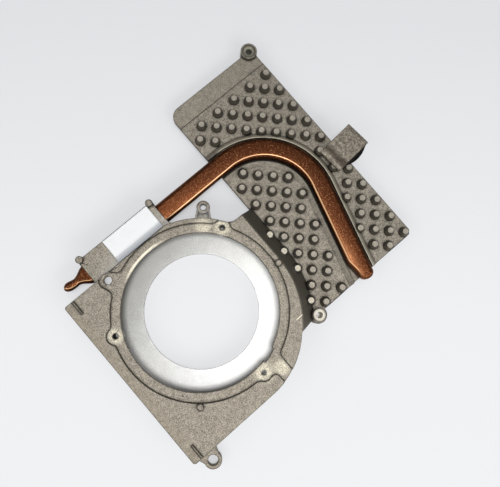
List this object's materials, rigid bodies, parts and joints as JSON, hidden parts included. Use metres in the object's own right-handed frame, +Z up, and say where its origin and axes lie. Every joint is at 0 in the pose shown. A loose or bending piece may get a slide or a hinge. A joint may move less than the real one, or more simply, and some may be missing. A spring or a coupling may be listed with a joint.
{
  "type": "laptop cooler heatsink",
  "caption": "Laptop cooler: cast plate with tapered cooling pins, bent flat heat pipe, fin duct and a round fan housing with a sheet cover, open on one side for air.",
  "frame": {"origin": "on the fan's axis, in the plane of the cover's underside, which the part lies on", "axes": "+Z up along the fan's axis, +X along the pinned plate's long edge towards the pipe's end, +Y from the fan towards the plate"},
  "size_m": [0.1064, 0.1147, 0.0122],
  "materials": {
    "cast_aluminium": "sandblasted die casting, warm grey with worn bright edges",
    "copper_pipe": "tarnished bare copper",
    "fin_sheet": "plain sheet",
    "cover_sheet": "bright smooth sheet",
    "label_paper": "matt white",
    "gasket_cloth": "metal-plated woven cloth",
    "gasket_foam": "open foam"
  },
  "bodies": {
    "root": {"fan_cover": "cover_sheet", "fin_01": "fin_sheet", "fin_02": "fin_sheet", "fin_03": "fin_sheet", "fin_04": "fin_sheet", "fin_05": "fin_sheet", "fin_06": "fin_sheet", "fin_07": "fin_sheet", "fin_08": "fin_sheet", "fin_09": "fin_sheet", "fin_10": "fin_sheet", "fin_11": "fin_sheet", "fin_12": "fin_sheet", "fin_13": "fin_sheet", "fin_14": "fin_sheet", "fin_15": "fin_sheet", "fin_16": "fin_sheet", "fin_17": "fin_sheet", "fin_18": "fin_sheet", "fin_19": "fin_sheet", "fin_20": "fin_sheet", "gasket_cloth": "gasket_cloth", "gasket_foam": "gasket_foam", "heat_pipe": "copper_pipe", "label": "label_paper", "main_casting": "cast_aluminium"}
  },
  "joints": []
}
